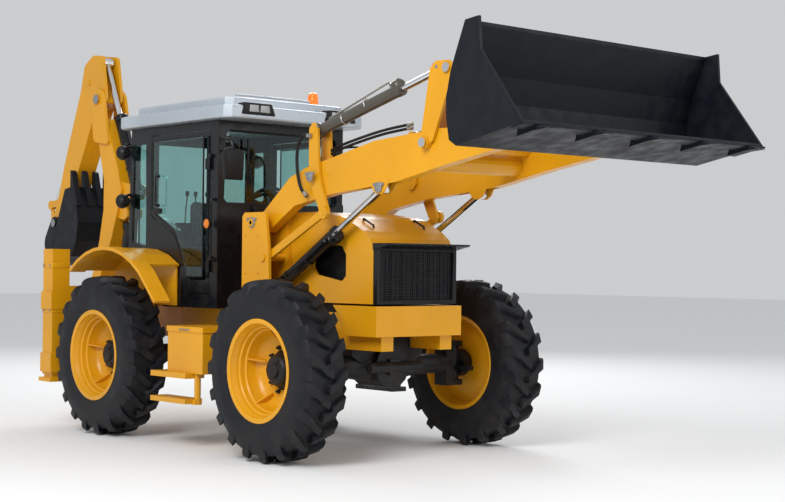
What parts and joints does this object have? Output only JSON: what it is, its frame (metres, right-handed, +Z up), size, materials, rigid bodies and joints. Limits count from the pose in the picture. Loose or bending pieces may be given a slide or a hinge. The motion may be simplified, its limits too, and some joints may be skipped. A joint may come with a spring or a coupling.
{
  "type": "backhoe loader",
  "caption": "Four-wheel backhoe loader with a raised front loader bucket, a glazed cab, two stabilisers and a folded side-shift backhoe.",
  "frame": {"origin": "on the ground under the middle of the machine's box, wheels standing on Z = 0", "axes": "+X forward towards the loader bucket, +Y to the machine's left, +Z up"},
  "size_m": [7.4607, 2.438, 3.4527],
  "materials": {
    "yellow_paint": "gloss golden yellow machine paint",
    "black_paint": "semi-gloss black paint",
    "silver_paint": "silver-grey painted shell",
    "tyre_rubber": "matt black rubber",
    "bucket_paint": "worn black-blue paint",
    "cylinder_paint": "bronze-grey paint",
    "chrome": "polished hard chrome",
    "cast_iron": "black-painted castings",
    "seat_vinyl": "dark vinyl"
  },
  "bodies": {
    "machine": {"chassis_frame": "yellow_paint", "engine_and_gearbox": "cast_iron", "front_axle": "cast_iron", "rear_axle": "cast_iron", "rear_fenders": "yellow_paint", "cab_frame": "black_paint", "cab_roof": "silver_paint", "toolbox": "yellow_paint", "fuel_tank": "black_paint", "rear_frame": "yellow_paint"},
    "bonnet": {"bonnet": "yellow_paint", "grille": "black_paint"},
    "toolbox_lid": {"toolbox_lid": "yellow_paint"},
    "seat": {"seat": "seat_vinyl"},
    "door_right": {"door_right": "black_paint"},
    "door_left": {"door_left": "black_paint"},
    "knuckle_right": {"knuckle_right": "cast_iron"},
    "knuckle_left": {"knuckle_left": "cast_iron"},
    "front_right_wheel": {"front_right_tyre": "tyre_rubber", "front_right_rim": "yellow_paint"},
    "front_left_wheel": {"front_left_tyre": "tyre_rubber", "front_left_rim": "yellow_paint"},
    "rear_right_wheel": {"rear_right_tyre": "tyre_rubber", "rear_right_rim": "yellow_paint"},
    "rear_left_wheel": {"rear_left_tyre": "tyre_rubber", "rear_left_rim": "yellow_paint"},
    "stabiliser_right": {"stabiliser_leg_right": "yellow_paint"},
    "stabiliser_left": {"stabiliser_leg_left": "yellow_paint"},
    "loader_arms": {"loader_arms": "yellow_paint"},
    "rockers": {"rocker_right": "yellow_paint", "rocker_left": "yellow_paint"},
    "level_links": {"level_link_right": "yellow_paint", "level_link_left": "yellow_paint"},
    "lift_barrels": {"lift_cylinder_right_barrel": "black_paint", "lift_cylinder_left_barrel": "black_paint"},
    "lift_rods": {"lift_cylinder_right_rod": "chrome", "lift_cylinder_left_rod": "chrome"},
    "tilt_barrels": {"tilt_cylinder_right_barrel": "cylinder_paint", "tilt_cylinder_left_barrel": "cylinder_paint"},
    "tilt_rods": {"tilt_cylinder_right_rod": "chrome", "tilt_cylinder_left_rod": "chrome"},
    "lever_shaft": {"lever_shaft": "chrome"},
    "tilt_levers": {"tilt_levers": "yellow_paint"},
    "link_shaft": {"link_shaft": "chrome"},
    "bucket_links": {"bucket_links": "yellow_paint"},
    "bucket_shaft": {"bucket_shaft": "chrome"},
    "loader_bucket": {"loader_bucket": "bucket_paint"},
    "carriage": {"backhoe_carriage": "yellow_paint"},
    "kingpost": {"swing_kingpost": "yellow_paint"},
    "boom": {"boom": "yellow_paint"},
    "boom_barrel": {"boom_cylinder_barrel": "black_paint"},
    "boom_rod": {"boom_cylinder_rod": "chrome"},
    "dipper": {"dipper": "yellow_paint"},
    "dipper_barrel": {"dipper_cylinder_barrel": "black_paint"},
    "dipper_rod": {"dipper_cylinder_rod": "chrome"},
    "hoe_barrel": {"hoe_bucket_cylinder_barrel": "black_paint"},
    "hoe_rod": {"hoe_bucket_cylinder_rod": "chrome"},
    "tipping_lever": {"tipping_lever": "yellow_paint"},
    "hoe_link": {"hoe_bucket_link": "yellow_paint"},
    "backhoe_bucket": {"backhoe_bucket": "bucket_paint"}
  },
  "joints": [
    {"name": "bonnet_hinge", "type": "hinge", "parent": "machine", "child": "bonnet", "pos_m": [0.2904, 0, 1.875], "axis": [0, -1, 0], "range_deg": [0, 50]},
    {"name": "toolbox_lid_hinge", "type": "hinge", "parent": "machine", "child": "toolbox_lid", "pos_m": [-0.1796, -0.742, 0.968], "axis": [-1, 0, 0], "range_deg": [0, 90]},
    {"name": "seat_swivel", "type": "hinge", "parent": "machine", "child": "seat", "pos_m": [-1.1896, 0, 1.44], "axis": [0, 0, 1], "range_deg": [0, 180]},
    {"name": "door_right_hinge", "type": "hinge", "parent": "machine", "child": "door_right", "pos_m": [-0.4956, -0.676, 1.9], "axis": [0, 0, 1], "range_deg": [0, 80]},
    {"name": "door_left_hinge", "type": "hinge", "parent": "machine", "child": "door_left", "pos_m": [-0.4956, 0.676, 1.9], "axis": [0, 0, -1], "range_deg": [0, 80]},
    {"name": "steer_right", "type": "hinge", "parent": "machine", "child": "knuckle_right", "pos_m": [0.9104, -0.79, 0.68], "axis": [0, 0, 1], "range_deg": [-22, 22]},
    {"name": "steer_left", "type": "hinge", "parent": "machine", "child": "knuckle_left", "pos_m": [0.9104, 0.79, 0.68], "axis": [0, 0, 1], "range_deg": [-22, 22]},
    {"name": "front_right_spin", "type": "hinge", "parent": "knuckle_right", "child": "front_right_wheel", "pos_m": [0.9104, -1.014, 0.68], "axis": [0, 1, 0], "continuous": true},
    {"name": "front_left_spin", "type": "hinge", "parent": "knuckle_left", "child": "front_left_wheel", "pos_m": [0.9104, 1.014, 0.68], "axis": [0, 1, 0], "continuous": true},
    {"name": "rear_right_spin", "type": "hinge", "parent": "machine", "child": "rear_right_wheel", "pos_m": [-1.4796, -1.014, 0.68], "axis": [0, 1, 0], "continuous": true},
    {"name": "rear_left_spin", "type": "hinge", "parent": "machine", "child": "rear_left_wheel", "pos_m": [-1.4796, 1.014, 0.68], "axis": [0, 1, 0], "continuous": true},
    {"name": "stabiliser_right_slide", "type": "slide", "parent": "machine", "child": "stabiliser_right", "axis": [0, 0, -1], "range_m": [0, 0.55]},
    {"name": "stabiliser_left_slide", "type": "slide", "parent": "machine", "child": "stabiliser_left", "axis": [0, 0, -1], "range_m": [0, 0.55]},
    {"name": "loader_lift", "type": "hinge", "parent": "machine", "child": "loader_arms", "pos_m": [0.0664, 0, 1.803], "axis": [0, -1, 0], "range_deg": [-41, 25]},
    {"name": "rocker_turn", "type": "hinge", "parent": "loader_arms", "child": "rockers", "pos_m": [0.7794, 0, 2.145], "axis": [0, -1, 0], "range_deg": [-25.01, 41.01]},
    {"name": "level_link_turn", "type": "hinge", "parent": "machine", "child": "level_links", "pos_m": [0.2244, 0, 1.523], "axis": [0, -1, 0], "range_deg": [-41.01, 25.01]},
    {"name": "lift_barrel_turn", "type": "hinge", "parent": "machine", "child": "lift_barrels", "pos_m": [0.1104, 0, 1.21], "axis": [0, -1, 0], "range_deg": [-36.71, 22.39]},
    {"name": "lift_rod_slide", "type": "slide", "parent": "lift_barrels", "child": "lift_rods", "axis": [0.8627, 0, 0.5058], "range_m": [-0.38692, 0.23612]},
    {"name": "lever_shaft_turn", "type": "hinge", "parent": "loader_arms", "child": "lever_shaft", "pos_m": [2.0514, 0, 2.338], "axis": [0, -1, 0], "range_deg": [-17.74, 29.08]},
    {"name": "bucket_shaft_turn", "type": "hinge", "parent": "loader_arms", "child": "bucket_shaft", "pos_m": [2.8654, 0, 2.335], "axis": [0, -1, 0], "range_deg": [-25.01, 41.01]},
    {"name": "loader_tilt", "type": "hinge", "parent": "bucket_shaft", "child": "loader_bucket", "pos_m": [2.8654, 0, 2.335], "axis": [0, -1, 0], "range_deg": [-50, 40]},
    {"name": "tilt_lever_turn", "type": "hinge", "parent": "lever_shaft", "child": "tilt_levers", "pos_m": [2.0514, 0, 2.338], "axis": [0, -1, 0], "range_deg": [-35.16, 28.13]},
    {"name": "link_shaft_turn", "type": "hinge", "parent": "tilt_levers", "child": "link_shaft", "pos_m": [2.2754, 0, 2.85], "axis": [0, -1, 0], "range_deg": [-29.08, 17.74]},
    {"name": "bucket_link_turn", "type": "hinge", "parent": "link_shaft", "child": "bucket_links", "pos_m": [2.2754, 0, 2.85], "axis": [0, -1, 0], "range_deg": [-35.57, 44.46]},
    {"name": "tilt_barrel_turn", "type": "hinge", "parent": "rockers", "child": "tilt_barrels", "pos_m": [0.7664, 0, 2.509], "axis": [0, -1, 0], "range_deg": [-38.02, 23.19]},
    {"name": "tilt_rod_slide", "type": "slide", "parent": "tilt_barrels", "child": "tilt_rods", "axis": [0.9689, 0, 0.2473], "range_m": [-0.2246, 0.28063]},
    {"name": "side_shift", "type": "slide", "parent": "machine", "child": "carriage", "axis": [0, 1, 0], "range_m": [-0.2, 0.9]},
    {"name": "swing", "type": "hinge", "parent": "carriage", "child": "kingpost", "pos_m": [-2.6096, -0.35, 0.81], "axis": [0, 0, 1], "range_deg": [-90, 90]},
    {"name": "boom_raise", "type": "hinge", "parent": "kingpost", "child": "boom", "pos_m": [-2.8896, -0.35, 1.04], "axis": [0, -1, 0], "range_deg": [0, 90]},
    {"name": "boom_barrel_turn", "type": "hinge", "parent": "kingpost", "child": "boom_barrel", "pos_m": [-2.4496, -0.35, 1.1], "axis": [0, -1, 0], "range_deg": [0, 81.29]},
    {"name": "boom_rod_slide", "type": "slide", "parent": "boom_barrel", "child": "boom_rod", "axis": [0.2453, 0, 0.9695], "range_m": [0, 0.62568]},
    {"name": "dipper_turn", "type": "hinge", "parent": "boom", "child": "dipper", "pos_m": [-2.6796, -0.35, 3.02], "axis": [0, 1, 0], "range_deg": [0, 95]},
    {"name": "dipper_barrel_turn", "type": "hinge", "parent": "boom", "child": "dipper_barrel", "pos_m": [-2.1496, -0.35, 2.14], "axis": [0, 1, 0], "range_deg": [0, 16.83]},
    {"name": "dipper_rod_slide", "type": "slide", "parent": "dipper_barrel", "child": "dipper_rod", "axis": [-0.4237, 0, 0.9058], "range_m": [-0.44962, 0]},
    {"name": "backhoe_bucket_turn", "type": "hinge", "parent": "dipper", "child": "backhoe_bucket", "pos_m": [-3.4896, -0.35, 1.86], "axis": [0, 1, 0], "range_deg": [0, 130]},
    {"name": "tipping_lever_turn", "type": "hinge", "parent": "dipper", "child": "tipping_lever", "pos_m": [-3.3516, -0.35, 2.09], "axis": [0, 1, 0], "range_deg": [0, 98.68]},
    {"name": "hoe_link_turn", "type": "hinge", "parent": "tipping_lever", "child": "hoe_link", "pos_m": [-3.6866, -0.35, 2.044], "axis": [0, 1, 0], "range_deg": [-54.48, 0]},
    {"name": "hoe_barrel_turn", "type": "hinge", "parent": "dipper", "child": "hoe_barrel", "pos_m": [-2.9096, -0.35, 3.2], "axis": [0, 1, 0], "range_deg": [-0.14, 0]},
    {"name": "hoe_rod_slide", "type": "slide", "parent": "hoe_barrel", "child": "hoe_rod", "axis": [-0.5578, 0, -0.8299], "range_m": [-0.52008, 0]}
  ],
  "couplings": [
    {"joint": "steer_left", "follows": "steer_right", "ratio": 1},
    {"joint": "rocker_turn", "follows": "loader_lift", "ratio": -1},
    {"joint": "level_link_turn", "follows": "loader_lift", "ratio": 1},
    {"joint": "lift_barrel_turn", "follows": "loader_lift", "ratio": 0.895},
    {"joint": "lift_rod_slide", "follows": "loader_lift", "m_per_rad": 0.54},
    {"joint": "lever_shaft_turn", "follows": "loader_lift", "ratio": -0.709},
    {"joint": "bucket_shaft_turn", "follows": "loader_lift", "ratio": -1},
    {"joint": "tilt_lever_turn", "follows": "loader_tilt", "ratio": 0.703},
    {"joint": "link_shaft_turn", "follows": "loader_lift", "ratio": 0.709},
    {"joint": "bucket_link_turn", "follows": "loader_tilt", "ratio": -0.889},
    {"joint": "tilt_barrel_turn", "follows": "loader_lift", "ratio": 0.927},
    {"joint": "tilt_rod_slide", "follows": "loader_tilt", "m_per_rad": -0.321},
    {"joint": "boom_barrel_turn", "follows": "boom_raise", "ratio": 0.9031},
    {"joint": "boom_rod_slide", "follows": "boom_raise", "m_per_rad": 0.398},
    {"joint": "dipper_barrel_turn", "follows": "dipper_turn", "ratio": 0.177},
    {"joint": "dipper_rod_slide", "follows": "dipper_turn", "m_per_rad": -0.27087},
    {"joint": "tipping_lever_turn", "follows": "backhoe_bucket_turn", "ratio": 0.759},
    {"joint": "hoe_link_turn", "follows": "backhoe_bucket_turn", "ratio": -0.419},
    {"joint": "hoe_barrel_turn", "follows": "backhoe_bucket_turn", "ratio": -0.001},
    {"joint": "hoe_rod_slide", "follows": "backhoe_bucket_turn", "m_per_rad": -0.229}
  ]
}
